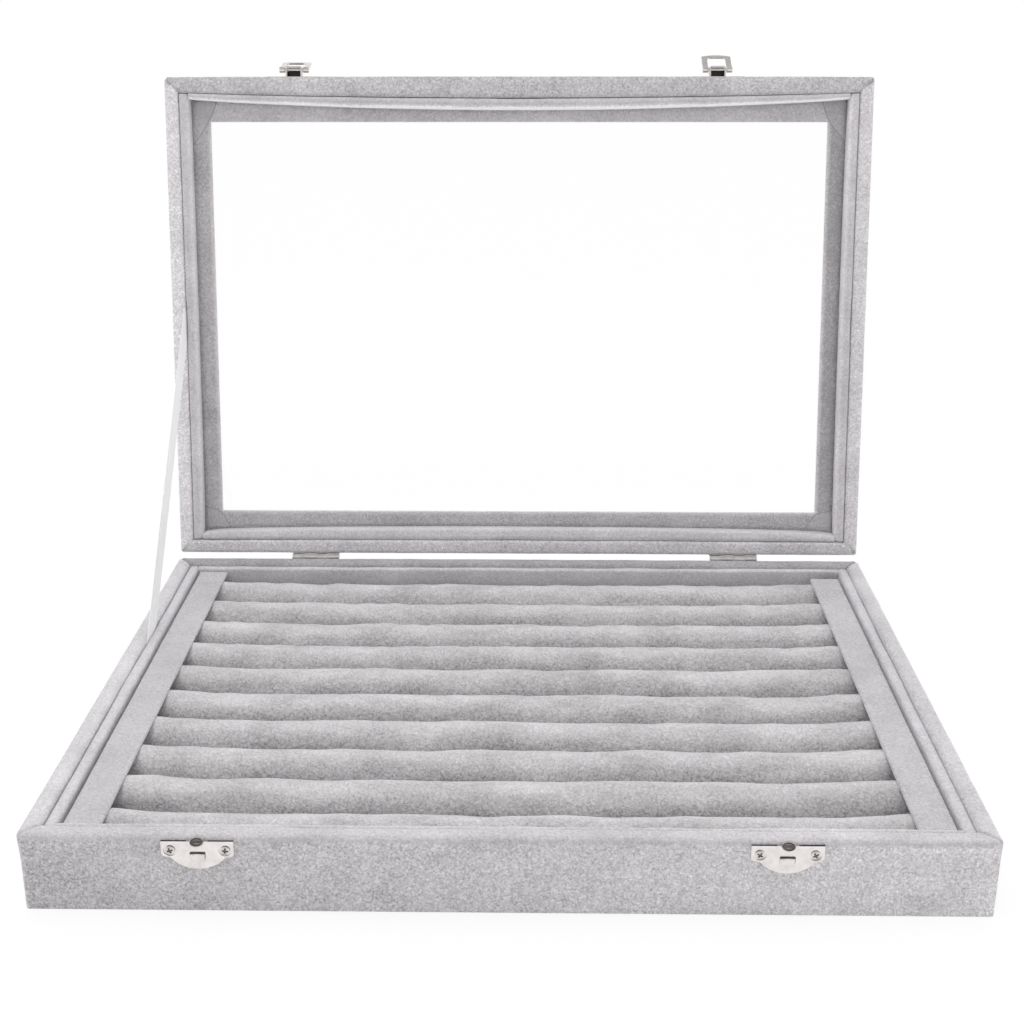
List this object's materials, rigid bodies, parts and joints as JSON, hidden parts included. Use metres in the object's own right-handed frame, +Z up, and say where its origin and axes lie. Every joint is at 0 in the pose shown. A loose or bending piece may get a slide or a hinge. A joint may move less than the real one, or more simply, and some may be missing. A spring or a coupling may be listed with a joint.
{
  "type": "ring display box",
  "caption": "Shallow velvet-covered box with a hinged glass lid, foam ring rolls, a stay ribbon and two hasps.",
  "frame": {"origin": "centre of the base's underside, where the box rests", "axes": "+Z up, +X to the right seen from the front, +Y to the hinge side; stored open as in the picture"},
  "size_m": [0.35, 0.3039, 0.2803],
  "materials": {
    "velvet": "short grey velvet, matt",
    "roll_velvet": "short grey velvet over foam",
    "card": "grey board",
    "timber": "plain sawn board",
    "glass": "clear",
    "nickel": "bright nickel plate",
    "screw_steel": "nickel-plated steel",
    "satin": "white satin ribbon"
  },
  "bodies": {
    "base": {"base_back_liner": "velvet", "base_back_wall": "timber", "base_cover": "velvet", "base_floor": "timber", "base_front_liner": "velvet", "base_front_wall": "timber", "base_left_liner": "velvet", "base_left_wall": "timber", "base_right_liner": "velvet", "base_right_wall": "timber", "base_underlay": "velvet", "catch_left": "nickel", "catch_right": "nickel", "catch_screws": "screw_steel", "hinge_base_screws": "screw_steel", "hinge_left_base_leaf": "nickel", "hinge_left_pin": "nickel", "hinge_right_base_leaf": "nickel", "hinge_right_pin": "nickel", "insert_board": "card", "insert_left_strip": "roll_velvet", "insert_right_strip": "roll_velvet", "ring_roll_01": "roll_velvet", "ring_roll_02": "roll_velvet", "ring_roll_03": "roll_velvet", "ring_roll_04": "roll_velvet", "ring_roll_05": "roll_velvet", "ring_roll_06": "roll_velvet", "ring_roll_07": "roll_velvet", "ring_roll_08": "roll_velvet", "ring_roll_09": "roll_velvet", "ring_roll_10": "roll_velvet", "stay_ribbon": "satin"},
    "lid": {"hasp_pin_left": "nickel", "hasp_pin_right": "nickel", "hinge_left_lid_leaf": "nickel", "hinge_lid_screws": "screw_steel", "hinge_right_lid_leaf": "nickel", "latch_plate_left": "nickel", "latch_plate_right": "nickel", "latch_screws": "screw_steel", "lid_back_liner": "velvet", "lid_back_rail": "timber", "lid_cover": "velvet", "lid_front_liner": "velvet", "lid_front_rail": "timber", "lid_glass": "glass", "lid_left_liner": "velvet", "lid_left_rail": "timber", "lid_right_liner": "velvet", "lid_right_rail": "timber", "lid_window_frame": "timber"},
    "left_hasp": {"hasp_left": "nickel"},
    "right_hasp": {"hasp_right": "nickel"}
  },
  "joints": [
    {"name": "lid_hinge", "type": "hinge", "parent": "base", "child": "lid", "pos_m": [0, 0.12175, 0.0322], "axis": [1, 0, 0], "range_deg": [0, 100], "deforming": ["stay_ribbon"]},
    {"name": "left_hasp_pivot", "type": "hinge", "parent": "lid", "child": "left_hasp", "pos_m": [-0.1111, 0.16967, 0.274], "axis": [1, 0, 0], "range_deg": [-43, 171.5]},
    {"name": "right_hasp_pivot", "type": "hinge", "parent": "lid", "child": "right_hasp", "pos_m": [0.0984, 0.16967, 0.274], "axis": [1, 0, 0], "range_deg": [-61, 153.5]}
  ]
}
